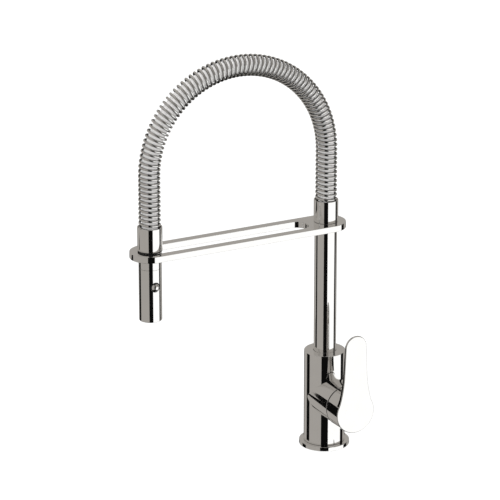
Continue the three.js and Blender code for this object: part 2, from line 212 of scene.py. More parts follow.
def stage_sheet(name, corners):
    """A flat four-cornered sheet that belongs to the studio."""
    mesh = bpy.data.meshes.new(name)
    mesh.from_pydata(corners, [], [(0, 1, 2, 3)])
    sheet = bpy.data.objects.new(name, mesh)
    scene.collection.objects.link(sheet)
    return sheet


def add_flags():
    """The cards show only in reflections, so they shade nothing and hide nothing."""
    material = bpy.data.materials.new("black_velvet")
    tree = new_nodes(material)
    velvet = add_node(tree, "ShaderNodeBsdfDiffuse", Color=(*BLACK_CARD, 1))
    add_node(tree, "ShaderNodeOutputMaterial", Surface=velvet.outputs[0])
    for name, (start, end, bottom, top) in BLACK_FLAGS.items():
        first, last = (across_view * a + toward_camera * t for a, t in (start, end))
        rise = Vector((0, 0, 1))
        corners = [first + rise * bottom, last + rise * bottom, last + rise * top, first + rise * top]
        flag = stage_sheet(name, corners)
        flag.data.materials.append(material)
        flag.visible_camera = False
        flag.visible_diffuse = False
        flag.visible_shadow = False
        flag.visible_transmission = False


def add_key_light():
    data = bpy.data.lights.new("key_light", "AREA")
    data.shape = "DISK"
    data.size = 2.5
    data.energy = 12
    light = bpy.data.objects.new("key_light", data)
    scene.collection.objects.link(light)
    light.location = (0.6, -0.4, 3.0)
    light.rotation_euler = Vector((0.6, -0.3, 3.0)).to_track_quat("Z", "Y").to_euler()
    light.visible_glossy = False


def add_floor():
    """A softly lit white floor, bright enough to run into the background."""
    half = 30
    corners = [(-half, -half, 0), (half, -half, 0), (half, half, 0), (-half, half, 0)]
    floor = stage_sheet("floor", corners)
    material = bpy.data.materials.new("floor_paint")
    tree = new_nodes(material)
    paint = add_node(tree, "ShaderNodeBsdfDiffuse", Color=(0.15, 0.15, 0.15, 1))
    glow = add_node(tree, "ShaderNodeEmission", Color=(0.9, 0.9, 0.9, 1), Strength=1.0)
    both = add_node(tree, "ShaderNodeAddShader")
    tree.links.new(paint.outputs[0], both.inputs[0])
    tree.links.new(glow.outputs[0], both.inputs[1])
    add_node(tree, "ShaderNodeOutputMaterial", Surface=both.outputs[0])
    floor.data.materials.append(material)
    floor.visible_glossy = False
    floor.location.z = -0.2 * MM


add_studio()
add_flags()
add_key_light()
add_floor()
scene.view_settings.view_transform = "Standard"


# ---------------------------------------------------------------- materials
def principled(name, metallic, roughness, colour=None, noise_scale=400.0, bump=0.0, **extra):
    """A Principled material whose roughness wanders with a fine noise. Its surface may have a slight bump."""
    material = bpy.data.materials.new(name)
    tree = new_nodes(material)
    place = add_node(tree, "ShaderNodeTexCoord").outputs["Object"]
    noise = add_node(tree, "ShaderNodeTexNoise", Vector=place, Scale=noise_scale, Detail=4.0)
    smoothest, roughest = roughness
    spread = add_node(
        tree,
        "ShaderNodeMapRange",
        Value=noise.outputs["Fac"],
        From_Min=0.3,
        From_Max=0.7,
        To_Min=smoothest,
        To_Max=roughest,
    )
    shader = add_node(
        tree, "ShaderNodeBsdfPrincipled", Metallic=metallic, Roughness=spread.outputs[0], **extra
    )
    if colour is not None:
        shader.inputs["Base Color"].default_value = (*colour, 1)
    if bump:
        relief = add_node(
            tree, "ShaderNodeBump", Strength=bump, Distance=0.2 * MM, Height=noise.outputs["Fac"]
        )
        tree.links.new(relief.outputs[0], shader.inputs["Normal"])
    add_node(tree, "ShaderNodeOutputMaterial", Surface=shader.outputs[0])
    return material, tree, shader, place


def tinted(made, scale, first, second):
    """Lets the base colour wander between two tones with a coarse noise."""
    material, tree, shader, place = made
    cloud = add_node(tree, "ShaderNodeTexNoise", Vector=place, Scale=scale, Detail=2.0)
    colour = ramp_node(tree, cloud.outputs["Fac"], [(0.35, first), (0.65, second)])
    tree.links.new(colour, shader.inputs["Base Color"])
    return material


def turned_rings(made, spacing, strength):
    """Adds the fine rings that a lathe leaves."""
    material, tree, shader, place = made
    rings = add_node(
        tree,
        "ShaderNodeTexWave",
        {"wave_type": "RINGS", "rings_direction": "Z"},
        Vector=place,
        Scale=1 / spacing,
        Distortion=0.6,
    )
    relief = add_node(
        tree, "ShaderNodeBump", Strength=strength, Distance=0.1 * MM, Height=rings.outputs["Fac"]
    )
    tree.links.new(relief.outputs[0], shader.inputs["Normal"])
    return material


def painted_inner_shade(made, outside, inside):
    """Paints shade on the side of a coiled wire that faces the coil's axis: the inside colour is painted
    shade where the wire and the conduit would shade each other, not the metal's own colour. The wire's map
    has u = 0 farthest out.
    """
    material, tree, shader, place = made
    uv = add_node(tree, "ShaderNodeSeparateXYZ", Vector=add_node(tree, "ShaderNodeUVMap").outputs[0])
    outward = math_node(tree, "COSINE", math_node(tree, "MULTIPLY", uv.outputs["X"], 2 * math.pi))
    # The inside colour is painted shade; the outside colour is the metal's own.
    colour = ramp_node(tree, outward, [(0.25, inside), (0.6, outside)])
    tree.links.new(colour, shader.inputs["Base Color"])
    return material


def braided(made):
    """Crossed strands, from the tube's own map: u once round the hose, v in metres along it."""
    material, tree, shader, place = made
    strands = 22
    lead = 30 * MM
    uv = add_node(tree, "ShaderNodeSeparateXYZ", Vector=add_node(tree, "ShaderNodeUVMap").outputs[0])
    round_part = math_node(tree, "MULTIPLY", uv.outputs["X"], 2 * math.pi * strands)
    along_part = math_node(tree, "MULTIPLY", uv.outputs["Y"], 2 * math.pi * strands / lead)
    right = math_node(tree, "SINE", math_node(tree, "ADD", round_part, along_part))
    left = math_node(tree, "SINE", math_node(tree, "SUBTRACT", round_part, along_part))
    weave = math_node(tree, "MAXIMUM", right, left)
    colour = ramp_node(tree, weave, [(0.1, (0.10, 0.10, 0.105)), (0.8, (0.62, 0.62, 0.63))])
    tree.links.new(colour, shader.inputs["Base Color"])
    relief = add_node(tree, "ShaderNodeBump", Strength=0.6, Distance=0.3 * MM, Height=weave)
    tree.links.new(relief.outputs[0], shader.inputs["Normal"])
    return material


CHROME_TONES = ((0.855, 0.848, 0.838), (0.868, 0.862, 0.852))
RUBBER_TONES = ((0.008, 0.008, 0.009), (0.015, 0.015, 0.016))
CERAMIC_TONES = ((0.86, 0.85, 0.82), (0.9, 0.89, 0.87))
WHITE_TONES = ((0.78, 0.77, 0.74), (0.83, 0.82, 0.79))
GREY_TONES = ((0.10, 0.10, 0.105), (0.14, 0.14, 0.145))
CONDUIT_TONES = ((0.88, 0.865, 0.85), (0.92, 0.905, 0.89))
SPRING_OUTSIDE = (0.85, 0.845, 0.835)
# The spring's inside colour is painted shade for the wire's side that faces the conduit.
SPRING_PAINTED_SHADE = (0.02, 0.02, 0.02)
rubber = principled("rubber", 0.0, (0.55, 0.75), bump=0.3, Specular_IOR_Level=0.15)
brass = principled("brass", 1.0, (0.22, 0.36), (0.74, 0.57, 0.30))
steel = principled("steel", 1.0, (0.2, 0.32), (0.62, 0.62, 0.63))
MATERIALS = {
    "chrome": tinted(principled("chrome", 1.0, (0.03, 0.055)), 60, *CHROME_TONES),
    # spring_steel paints shade on the wire's inner side, facing the conduit.
    "spring_steel": painted_inner_shade(
        principled("spring_steel", 1.0, (0.025, 0.05)), SPRING_OUTSIDE, SPRING_PAINTED_SHADE
    ),
    "brass": turned_rings(brass, 1.2 * MM, 0.25),
    "steel": turned_rings(steel, 0.9 * MM, 0.2),
    "rubber": tinted(rubber, 300, *RUBBER_TONES),
    "ceramic": tinted(principled("ceramic", 0.0, (0.12, 0.22), bump=0.05), 200, *CERAMIC_TONES),
    "white_plastic": tinted(principled("white_plastic", 0.0, (0.35, 0.5), bump=0.15), 150, *WHITE_TONES),
    "grey_plastic": tinted(principled("grey_plastic", 0.0, (0.35, 0.5), bump=0.2), 150, *GREY_TONES),
    "conduit_grey": tinted(principled("conduit_grey", 0.0, (0.38, 0.5), bump=0.1), 120, *CONDUIT_TONES),
    "braided_hose": braided(principled("braided_hose", 0.75, (0.3, 0.42))),
}


# ---------------------------------------------------------------- meshes with exact normals
def unit(vectors):
    return vectors / np.linalg.norm(vectors, axis=-1, keepdims=True)


def unit_circle(angles):
    return np.column_stack([np.cos(angles), np.sin(angles)])


def at_height(outline, height):
    """Lifts points, or directions, in plan to one height."""
    return np.column_stack([outline, np.full(len(outline), height)])


WELD_DISTANCE = 2e-7
HAIR = 1e-9  # keeps two rows of a profile apart until they are welded


class Skin:
    """Gathers smooth patches, each with its true normals, and welds them into one mesh."""

    def __init__(self):
        self.points = []
        self.faces = []
        self.normals = []
        self.uvs = []
        self.count = 0

    def _add(self, points, faces, normals, uvs=None):
        self.points.append(points)
        for face in faces:
            self.faces.append([i + self.count for i in face])
            self.normals.extend(normals[i] for i in face)
            self.uvs.extend((0.0, 0.0) if uvs is None else uvs[i] for i in face)
        self.count += len(points)

    def grid(self, points, normals, uvs=None):
        """A patch of rows by columns of points, with a normal at each."""
        points = np.asarray(points, float)
        normals = np.asarray(normals, float)
        rows, columns = points.shape[:2]
        flat = points.reshape(-1, 3)
        flat_normals = normals.reshape(-1, 3)
        place = np.arange(rows * columns).reshape(rows, columns)
        quads = np.stack([place[:-1, :-1], place[1:, :-1], place[1:, 1:], place[:-1, 1:]], -1).reshape(-1, 4)
        across = np.cross(flat[quads[:, 2]] - flat[quads[:, 0]], flat[quads[:, 3]] - flat[quads[:, 1]])
        inward = (across * flat_normals[quads].sum(1)).sum(1) < 0
        quads[inward] = quads[inward][:, ::-1]
        self._add(flat, quads.tolist(), flat_normals, None if uvs is None else np.asarray(uvs).reshape(-1, 2))
        return self

    def flat(self, outlines, normal):
        """A flat patch inside the first outline and outside the others."""
        points = np.concatenate([np.asarray(outline, float) for outline in outlines])
        loops = [[Vector(p) for p in outline] for outline in outlines]
        faces = [list(face) for face in tessellate_polygon(loops)]
        normal = np.asarray(normal, float)
        turned = []
        for a, b, c in faces:
            facing = np.cross(points[b] - points[a], points[c] - points[a])
            turned.append([a, b, c] if facing @ normal > 0 else [c, b, a])
        self._add(points, turned, np.tile(normal, (len(points), 1)))
        return self

    def build(self, name, material, body, *stands_for, slot=None):
        points = np.concatenate(self.points)
        keys = np.round(points / WELD_DISTANCE).astype(np.int64)
        _, first, weld = np.unique(keys, axis=0, return_index=True, return_inverse=True)
        weld = weld.reshape(-1)
        faces = []
        normals = []
        uvs = []
        at = 0
        for face in self.faces:
            kept = []
            kept_loops = []
            for step, corner in enumerate(face):
                vertex = int(weld[corner])
                if vertex not in kept:
                    kept.append(vertex)
                    kept_loops.append(at + step)
            at += len(face)
            if len(kept) >= 3:
                faces.append(kept)
                normals.extend(self.normals[i] for i in kept_loops)
                uvs.extend(self.uvs[i] for i in kept_loops)
        mesh = bpy.data.meshes.new(name)
        mesh.from_pydata(points[first].tolist(), [], faces)
        mesh.uv_layers.new(name="map").data.foreach_set("uv", np.asarray(uvs, np.float32).reshape(-1))
        mesh.shade_smooth()
        mesh.normals_split_custom_set([tuple(n) for n in normals])
        mesh.materials.append(MATERIALS[material])
        piece = bpy.data.objects.new(name, mesh)
        scene.collection.objects.link(piece)
        if stands_for:
            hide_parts(*stands_for)
        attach(piece, body)
        return piece


FULL_TURN = 2 * math.pi
ROUND = 128  # columns round a large turned piece
SMALL_ROUND = 64
TINY_ROUND = 32
FILLET_ROWS = 7


def strips(corners, closed=True):
    """Cuts a profile of (radius, height, fillet) corners into straight and round strips.
    The profile runs anticlockwise: out, up and back in. Each strip is rows of radius, height and normal."""
    corners = [tuple(c) + (0.0,) * (3 - len(c)) for c in corners]
    count = len(corners)
    arcs = []
    for i, (r, z, fillet) in enumerate(corners):
        here = np.array((r, z))
        if fillet == 0 or (not closed and i in (0, count - 1)):
            arcs.append((here, here, None))
            continue
        before = here - np.array(corners[i - 1][:2])
        after = np.array(corners[(i + 1) % count][:2]) - here
        before /= np.linalg.norm(before)
        after /= np.linalg.norm(after)
        turn = math.atan2(before[0] * after[1] - before[1] * after[0], before @ after)
        reach = abs(fillet * math.tan(turn / 2))
        arcs.append((here - before * reach, here + after * reach, (before, turn, fillet)))
    found = []
    last = count if closed else count - 1
    for i in range(count):
        start, end, arc = arcs[i]
        if arc is not None:
            before, turn, fillet = arc
            side = math.copysign(1, turn)
            centre = start + side * fillet * np.array((-before[1], before[0]))
            rows = []
            for angle in np.linspace(0, turn, FILLET_ROWS):
                way = np.array((
                    before[0] * math.cos(angle) - before[1] * math.sin(angle),
                    before[0] * math.sin(angle) + before[1] * math.cos(angle),
                ))
                out = np.array((way[1], -way[0]))
                rows.append((*(centre + side * fillet * out), *out))
            found.append(np.array(rows))
        if i < last:
            to = arcs[(i + 1) % count][0]
            line = to - end
            length = np.linalg.norm(line)
            if length > WELD_DISTANCE / 2:
                out = np.array((line[1], -line[0])) / length
                found.append(np.array([(*end, *out), (*to, *out)]))
    return found


def about_z(x, y):
    """Places a turned piece on an upright axis."""
    return lambda points: points + np.array((x, y, 0)), lambda normals: normals


def about_x(y, z):
    """Places a turned piece on an axis along +X: its height becomes x."""
    def turn(points):
        return np.stack([points[..., 2], points[..., 1], -points[..., 0]], -1)
    return lambda points: turn(points) + np.array((0, y, z)), turn


def turned_patches(skin, corners, place, columns=ROUND, closed=True, angles=None):
    """Adds a profile turned about an axis to a skin."""
    move, spin = place
    if angles is None:
        angles = np.linspace(0, FULL_TURN, columns + 1)
    cos, sin = np.cos(angles), np.sin(angles)
    for strip in strips(corners, closed):
        r, z, nr, nz = (strip[:, i, None] for i in range(4))
        flat = np.ones_like(cos)[None]
        points = np.stack([r * cos, r * sin, z * flat], -1)
        normals = np.stack([nr * cos, nr * sin, nz * flat], -1)
        skin.grid(move(points), spin(normals))
    return skin


def turned(name, corners, place, material, body, *stands_for, columns=ROUND):
    """A piece turned from a profile, which is closed unless it starts on the axis."""
    starts_on_axis = corners[0][0] == 0
    skin = turned_patches(Skin(), corners, place, columns, closed=not starts_on_axis)
    return skin.build(name, material, body, *stands_for)


# ---------------------------------------------------------------- sizes read from the frame
def low(node):
    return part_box(node)[0]


def high(node):
    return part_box(node)[1]


def radius(node):
    return (high(node).y - low(node).y) / 2


flange_radius = radius("base_flange")
flange_top = high("base_flange").z
body_radius = radius("body_shell")
body_bottom = low("body_shell").z
body_top = high("body_shell").z
housing_end = high("body_shell").x
lever_axis = (low("cartridge_seat").z + high("cartridge_seat").z) / 2
column_radius = radius("column_tube")
column_top = high("column_tube").z
arm_bottom = low("arm").z
arm_top = high("arm").z
arm_half_width = high("arm").x
reach = -(low("dock_tube").y + high("dock_tube").y) / 2
sleeve_radius = radius("column_sleeve")
spring_radius = high("arch_spring").x
arch_start = low("arch_spring").z
arch_radius = reach / 2
arch_shoulder = high("arch_spring").z - spring_radius - arch_radius
handset_radius = high("handset_shell").x
handset_bottom = low("handset_shell").z
handset_top = high("handset_shell").z
button_height = (low("spray_button").z + high("spray_button").z) / 2
button_radius = radius("spray_button")
button_tip = high("spray_button").x


def seal_ring(name, node, bore, place, axis, body, fillets=(0, 0.3, 0.3, 0), columns=ROUND):
    """A black ring as wide and as long as its CAD node, along axis 0 or 2.
    fillets are in mm: inner and outer edge at the low end, then outer and inner edge at the high end."""
    start, end = low(node)[axis], high(node)[axis]
    rim = radius(node)
    edges = ((bore, start), (rim, start), (rim, end), (bore, end))
    corners = [(r, z, fillet * MM) for (r, z), fillet in zip(edges, fillets)]
    turned(name, corners, place, "rubber", body, node, columns=columns)


column_line = about_z(0, 0)
spray_line = about_z(0, -reach)
lever_line = about_x(0, lever_axis)
button_line = about_x(-reach, button_height)

# ---------------------------------------------------------------- base and body
SOFT_EDGE = 0.8 * MM
CRISP_EDGE = 0.35 * MM
EASED_EDGE = 0.3 * MM
FINE_EDGE = 0.2 * MM
CLEARANCE = 0.3 * MM
GROOVE_OUTER = high("base_gasket").x + CLEARANCE
GROOVE_DEPTH = high("base_gasket").z + CLEARANCE
GROOVE_INNER = 24.7 * MM
FLANGE_BORE = high("inlet_block").x + 0.4 * MM

base_flange_plate_profile = [
    (FLANGE_BORE, 0),
    (GROOVE_INNER, 0),
    (GROOVE_INNER, GROOVE_DEPTH),
    (GROOVE_OUTER, GROOVE_DEPTH),
    (GROOVE_OUTER, 0),
    (flange_radius, 0, 0.15 * MM),
    (flange_radius, flange_top, SOFT_EDGE),
    (FLANGE_BORE, flange_top),
]
turned("base_flange_plate", base_flange_plate_profile, column_line, "chrome", "mixer_body", "base_flange")

BODY_BORE = 21.5 * MM
HOUSING_RADIUS = body_radius - 0.1 * MM
HOUSING_BORE = 21 * MM
BODY_ROOF = 4 * MM
COLUMN_HOLE = column_radius + CLEARANCE
ARC_POINTS = 97
WALL_ROWS = 5


def tee_patches(skin, upright, side, bottom, top, side_end, outward):
    """The walls of an upright tube that a side tube along +X runs into, up to the line where they meet."""
    widest = math.asin(min(1, side / upright))
    front = np.linspace(-widest, widest, ARC_POINTS)
    back = np.linspace(widest, FULL_TURN - widest, ARC_POINTS)[1:]
    angles = np.concatenate([front, back])
    across = upright * np.sin(angles)
    opening = np.sqrt(np.clip(side ** 2 - across ** 2, 0, None))
    opening[len(front):] = 0
    sign = 1 if outward else -1
    circle = upright * unit_circle(angles)
    normals = at_height(unit_circle(angles), 0) * sign
    for end, edge in ((bottom, lever_axis - opening), (top, lever_axis + opening)):
        rows = []
        for share in np.linspace(0, 1, WALL_ROWS):
            rows.append(np.column_stack([circle, end + (edge - end) * share]))
        skin.grid(rows, [normals] * len(rows))
    for direction in (1, -1):
        y = across[: len(front)]
        z = direction * opening[: len(front)]
        start = circle[: len(front), 0]
        rows = []
        for share in np.linspace(0, 1, WALL_ROWS):
            rows.append(np.column_stack([start + (side_end - start) * share, y, lever_axis + z]))
        ring_normals = np.column_stack([np.zeros_like(y), y, z]) / side * sign
        skin.grid(rows, [ring_normals] * len(rows))
    return angles


def make_body():
    skin = Skin()
    outer_angles = tee_patches(
        skin, body_radius, HOUSING_RADIUS, body_bottom, body_top - SOFT_EDGE, housing_end - CRISP_EDGE, True
    )
    inner_top = body_top - BODY_ROOF
    tee_patches(skin, BODY_BORE, HOUSING_BORE, body_bottom, inner_top, housing_end, False)
    roof = [
        (body_radius, body_top - SOFT_EDGE - HAIR),
        (body_radius, body_top, SOFT_EDGE),
        (COLUMN_HOLE, body_top, EASED_EDGE),
        (COLUMN_HOLE, inner_top),
        (BODY_BORE, inner_top),
    ]
    turned_patches(skin, roof, column_line, closed=False, angles=outer_angles)
    turned_patches(skin, [(BODY_BORE, body_bottom), (body_radius, body_bottom)], column_line, closed=False)
    mouth = [
        (HOUSING_RADIUS, housing_end - CRISP_EDGE - HAIR),
        (HOUSING_RADIUS, housing_end, CRISP_EDGE),
        (HOUSING_BORE, housing_end),
    ]
    turned_patches(skin, mouth, lever_line, closed=False)
    skin.build("body_casting", "chrome", "mixer_body", "body_shell")


make_body()


# ---------------------------------------------------------------- lever
HUB_RADIUS = radius("lever_handle")
HUB_START = low("lever_handle").x
HUB_WALL = 4 * MM
PADDLE_FACE = high("lever_handle").x
PADDLE_THICKNESS = 5.5 * MM
PADDLE_TOP = high("lever_handle").z - lever_axis
PADDLE_TOP_RADIUS = 14.1 * MM
PADDLE_BACK = PADDLE_FACE - PADDLE_THICKNESS
PADDLE_THINNING = 0.028  # how far the back leans towards the face, for each metre up
NECK_ANGLE = math.radians(25)
NECK_LEAVING = 8 * MM
NECK_CONTROL = (16.4 * MM, 35.5 * MM)
NECK_END = (15.7 * MM, 48 * MM)
NECK_POINTS = 40
SIDE_POINTS = 12
TOP_POINTS = 49
HUB_TOP_POINTS = 65
HUB_BORE = HUB_RADIUS - HUB_WALL
HUB_FLOOR = PADDLE_FACE - 8 * MM
BOSS_RADIUS = 9 * MM
STEM_HOLE = 5.3 * MM
STEM_HOLE_END = 64.3 * MM
FACE_EDGE = 0.95 * MM
BACK_EDGE = 0.9 * MM
EDGE_FADE = 1 / 12  # the share of the neck's outline over which the back's edge grows from nothing


def bezier(p0, p1, p2, p3, count):
    t = np.linspace(0, 1, count)[:, None]
    return (1 - t) ** 3 * p0 + 3 * (1 - t) ** 2 * t * p1 + 3 * (1 - t) * t ** 2 * p2 + t ** 3 * p3


def paddle_outline():
    """Points and outward normals of the paddle's neck and top, from its right shoulder over to its left."""
    leaving = np.array((math.cos(NECK_ANGLE), math.sin(NECK_ANGLE)))
    start = HUB_RADIUS * leaving
    way = np.array((-math.sin(NECK_ANGLE), math.cos(NECK_ANGLE)))
    neck = np.array(NECK_END)
    top_centre = PADDLE_TOP - PADDLE_TOP_RADIUS
    curve = bezier(start, start + NECK_LEAVING * way, np.array(NECK_CONTROL), neck, NECK_POINTS)
    arc = np.linspace(0, math.pi, TOP_POINTS)
    top = PADDLE_TOP_RADIUS * unit_circle(arc) + (0, top_centre)
    side = np.linspace(neck, top[0], SIDE_POINTS)[1:-1]
    right = np.concatenate([curve, side])
    left = right[::-1] * np.array((-1, 1))
    points = np.concatenate([right, top, left])
    steps = np.gradient(points, axis=0)
    normals = unit(np.column_stack([steps[:, 1], -steps[:, 0]]))
    normals[0] = leaving
    normals[-1] = normals[0] * (-1, 1)
    return points, normals


def back_of_paddle(height):
    return PADDLE_BACK + PADDLE_THINNING * np.clip(height - HUB_RADIUS * math.sin(NECK_ANGLE), 0, None)


def make_lever():
    skin = Skin()
    neck, neck_normals = paddle_outline()
    low_normals = unit_circle(np.linspace(math.pi - NECK_ANGLE, FULL_TURN + NECK_ANGLE, ARC_POINTS))
    low_points = HUB_RADIUS * low_normals
    high_normals = unit_circle(np.linspace(NECK_ANGLE, math.pi - NECK_ANGLE, HUB_TOP_POINTS))
    high_points = HUB_RADIUS * high_normals

    def lifted(outline, x):
        x = np.broadcast_to(x, len(outline))
        return np.column_stack([x, outline[:, 0], outline[:, 1] + lever_axis])

    def wall(outline, normals, start, end, shares=(0, 1)):
        rows = [lifted(outline, start + (end - start) * share) for share in shares]
        level = np.column_stack([np.zeros(len(normals)), normals])
        skin.grid(rows, [level] * len(rows))

    def rolled(outline, normals, edge, at, facing):
        """A rounded edge between a wall and the face at x = at. facing is 1 at the front, -1 at the back."""
        rows = []
        row_normals = []
        for angle in np.linspace(0, math.pi / 2, FILLET_ROWS):
            inset = edge * (1 - math.cos(angle))
            forward = edge * (math.sin(angle) - 1)
            rows.append(lifted(outline - normals * np.reshape(inset, (-1, 1)), at + facing * forward))
            row_normals.append(np.column_stack([
                np.full(len(normals), facing * math.sin(angle)),
                normals * math.cos(angle),
            ]))
        skin.grid(rows, row_normals)
        return outline - normals * np.reshape(edge, (-1, 1))

    whole = np.concatenate([neck, low_points[1:-1]])
    whole_normals = np.concatenate([neck_normals, low_normals[1:-1]])
    ring = np.concatenate([whole, whole[:1]])
    ring_normals = np.concatenate([whole_normals, whole_normals[:1]])
    face = rolled(ring, ring_normals, FACE_EDGE, PADDLE_FACE, 1)
    skin.flat([lifted(face[:-1], PADDLE_FACE)], (1, 0, 0))

    hub_wall_start = HUB_START + CRISP_EDGE
    wall(low_points, low_normals, hub_wall_start, PADDLE_FACE - FACE_EDGE, (0, 0.5, 1))
    wall(high_points, high_normals, hub_wall_start, back_of_paddle(high_points[:, 1]), (0, 0.5, 1))

    share = np.linspace(0, 1, len(neck))
    taper = np.clip(np.minimum(share, 1 - share) / EDGE_FADE, 0, 1)
    back_edge = BACK_EDGE * taper
    back = back_of_paddle(neck[:, 1])
    wall(neck, neck_normals, back + back_edge, PADDLE_FACE - FACE_EDGE)
    inner = rolled(neck, neck_normals, back_edge, back, -1)
    behind = np.concatenate([inner, high_points[::-1][1:-1]])
    lean = math.atan(PADDLE_THINNING)
    skin.flat([lifted(behind, back_of_paddle(behind[:, 1]))], (-math.cos(lean), 0, math.sin(lean)))

    hollow = [
        (0, STEM_HOLE_END),
        (STEM_HOLE, STEM_HOLE_END),
        (STEM_HOLE, HUB_START),
        (BOSS_RADIUS, HUB_START),
        (BOSS_RADIUS, HUB_FLOOR),
        (HUB_BORE, HUB_FLOOR),
        (HUB_BORE, HUB_START),
        (HUB_RADIUS, HUB_START, CRISP_EDGE),
        (HUB_RADIUS, hub_wall_start + HAIR),
    ]
    turned_patches(skin, hollow, lever_line, closed=False)
    skin.build("lever_paddle", "chrome", "lever", "lever_handle")


make_lever()

WIPER_BORE = 21.4 * MM
seal_ring("lever_wiper_ring", "lever_wiper", WIPER_BORE, lever_line, 0, "mixer_body")

plug_radius = radius("lever_screw_plug")
plug_x = (low("lever_screw_plug").x + high("lever_screw_plug").x) / 2
plug_bottom = lever_axis - HUB_RADIUS - 0.05 * MM
plug_top = lever_axis - HUB_RADIUS + 2 * MM
plug_profile = [
    (0, plug_bottom),
    (plug_radius, plug_bottom, FINE_EDGE),
    (plug_radius, plug_top),
    (0, plug_top),
]
plug_line = about_z(plug_x, 0)
turned(
    "lever_plug_cap", plug_profile, plug_line, "grey_plastic", "lever", "lever_screw_plug", columns=TINY_ROUND
)

# ---------------------------------------------------------------- column, sleeves and dock
COLUMN_BORE = 11.5 * MM
column_pipe_profile = [
    (COLUMN_BORE, low("column_tube").z),
    (column_radius, low("column_tube").z, CRISP_EDGE),
    (column_radius, column_top, CRISP_EDGE),
    (COLUMN_BORE, column_top),
]
turned("column_pipe", column_pipe_profile, column_line, "chrome", "spout", "column_tube")


SEAT_DEPTH = 0.6 * MM  # below the spring's end
SPRING_ROOM = 0.35 * MM


def make_sleeve(name, node, line):
    """A sleeve whose upper part is bored wider, so that the spring stands inside its rim."""
    seat = arch_start - SEAT_DEPTH
    socket = spring_radius + SPRING_ROOM
    bottom = low(node).z
    top = high(node).z
    corners = [
        (COLUMN_HOLE, bottom),
        (sleeve_radius, bottom, FINE_EDGE),
        (sleeve_radius, top, 0.25 * MM),
        (socket, top, 0.25 * MM),
        (socket, seat),
        (COLUMN_HOLE, seat),
    ]
    turned(name, corners, line, "chrome", "spout", node)


make_sleeve("column_ferrule", "column_sleeve", column_line)
make_sleeve("dock_ferrule", "dock_sleeve", spray_line)
seal_ring("dock_groove_ring", "dock_seal", COLUMN_HOLE, spray_line, 2, "spout")
DOCK_BORE = 12.1 * MM
SEAM_EDGE = 0.08 * MM
dock_collar_profile = [
    (DOCK_BORE, low("dock_tube").z, EASED_EDGE),
    (column_radius, low("dock_tube").z, SEAM_EDGE),
    (column_radius, high("dock_tube").z),
    (DOCK_BORE, high("dock_tube").z),
]
turned("dock_collar", dock_collar_profile, spray_line, "chrome", "spout", "dock_tube")


# ---------------------------------------------------------------- arm
SLOT_APEX = 25.6 * MM
ARM_EDGE = 0.45 * MM
ARM_EDGE_ROWS = 6


def arcs_outline(*arcs, count=65):
    """Points and outward normals of a closed outline of arcs that straight lines join.
    Each arc is the y of its centre, which is on the Y axis, its radius and its first and last angles."""
    points = []
    normals = []
    for centre, size, first, last in arcs:
        out = unit_circle(np.linspace(first, last, count))
        points.append(out * size + (0, centre))
        normals.append(out)
    points = np.concatenate(points)
    normals = np.concatenate(normals)
    return np.concatenate([points, points[:1]]), np.concatenate([normals, normals[:1]])


def edge_rows(outline, normals):
    """The rows, and their normals, of the arm's wall along an outline, with rounded lower and upper edges."""
    rows = []
    row_normals = []
    for centre, angles in (
        (arm_bottom + ARM_EDGE, np.linspace(-math.pi / 2, 0, ARM_EDGE_ROWS)),
        (arm_top - ARM_EDGE, np.linspace(0, math.pi / 2, ARM_EDGE_ROWS)),
    ):
        for angle in angles:
            inset = ARM_EDGE * (1 - math.cos(angle))
            rows.append(at_height(outline - normals * inset, centre + ARM_EDGE * math.sin(angle)))
            row_normals.append(at_height(normals * math.cos(angle), math.sin(angle)))
    return rows, row_normals


def make_arm():
    skin = Skin()
    outline, normals = arcs_outline(
        (0, arm_half_width, 0, math.pi),
        (-reach, arm_half_width, math.pi, FULL_TURN),
    )
    rows, row_normals = edge_rows(outline, normals)
    skin.grid(rows, row_normals)
    slot, slot_normals = arcs_outline(
        (-SLOT_APEX - COLUMN_HOLE, COLUMN_HOLE, 0, math.pi),
        (-reach, COLUMN_HOLE, math.pi, FULL_TURN),
    )
    slot_rows, slot_row_normals = edge_rows(slot, -slot_normals)
    skin.grid(slot_rows, slot_row_normals)
    hole = COLUMN_HOLE * unit_circle(np.linspace(0, FULL_TURN, ROUND, endpoint=False))
    loops = [(outline - normals * ARM_EDGE)[:-1], (slot + slot_normals * ARM_EDGE)[:-1], hole]
    for z, facing in ((arm_bottom, -1), (arm_top, 1)):
        skin.flat([at_height(loop, z) for loop in loops], (0, 0, facing))
    turned_patches(skin, [(COLUMN_HOLE, arm_top), (COLUMN_HOLE, arm_bottom)], column_line, closed=False)
    skin.build("arm_plate", "chrome", "spout", "arm")


make_arm()

SCREW_SOCKET_DEPTH = 1.2 * MM
screw_radius = radius("arm_screw_column")
screw_socket = screw_radius / 2
for name, node in (("column_grub_screw", "arm_screw_column"), ("dock_grub_screw", "arm_screw_dock")):
    screw_y = (low(node).y + high(node).y) / 2
    screw_z = (low(node).z + high(node).z) / 2
    screw_profile = [
        (0, high(node).x),
        (screw_radius, high(node).x),
        (screw_radius, -arm_half_width, FINE_EDGE),
        (screw_socket, -arm_half_width),
        (screw_socket, -arm_half_width + SCREW_SOCKET_DEPTH),
        (0, -arm_half_width + SCREW_SOCKET_DEPTH),
    ]
    turned(name, screw_profile, about_x(screw_y, screw_z), "steel", "spout", node, columns=TINY_ROUND)


# ---------------------------------------------------------------- arch: spring and conduit
RISE = arch_shoulder - arch_start
BEND = math.pi * arch_radius
ARCH_LENGTH = 2 * RISE + BEND


def arch_line(along):
    """Points, directions and outward normals of the arch's centreline, at distances along it."""
    along = np.asarray(along, float)
    angle = np.clip((along - RISE) / arch_radius, 0, math.pi)
    y = -arch_radius * (1 - np.cos(angle))
    z = arch_shoulder + arch_radius * np.sin(angle)
    z = z + np.clip(along - RISE, None, 0) - np.clip(along - RISE - BEND, 0, None)
    none = np.zeros_like(along)
    points = np.stack([none, y, z], -1)
    ways = np.stack([none, -np.sin(angle), np.cos(angle)], -1)
    outward = np.stack([none, np.cos(angle), np.sin(angle)], -1)
    return points, ways, outward


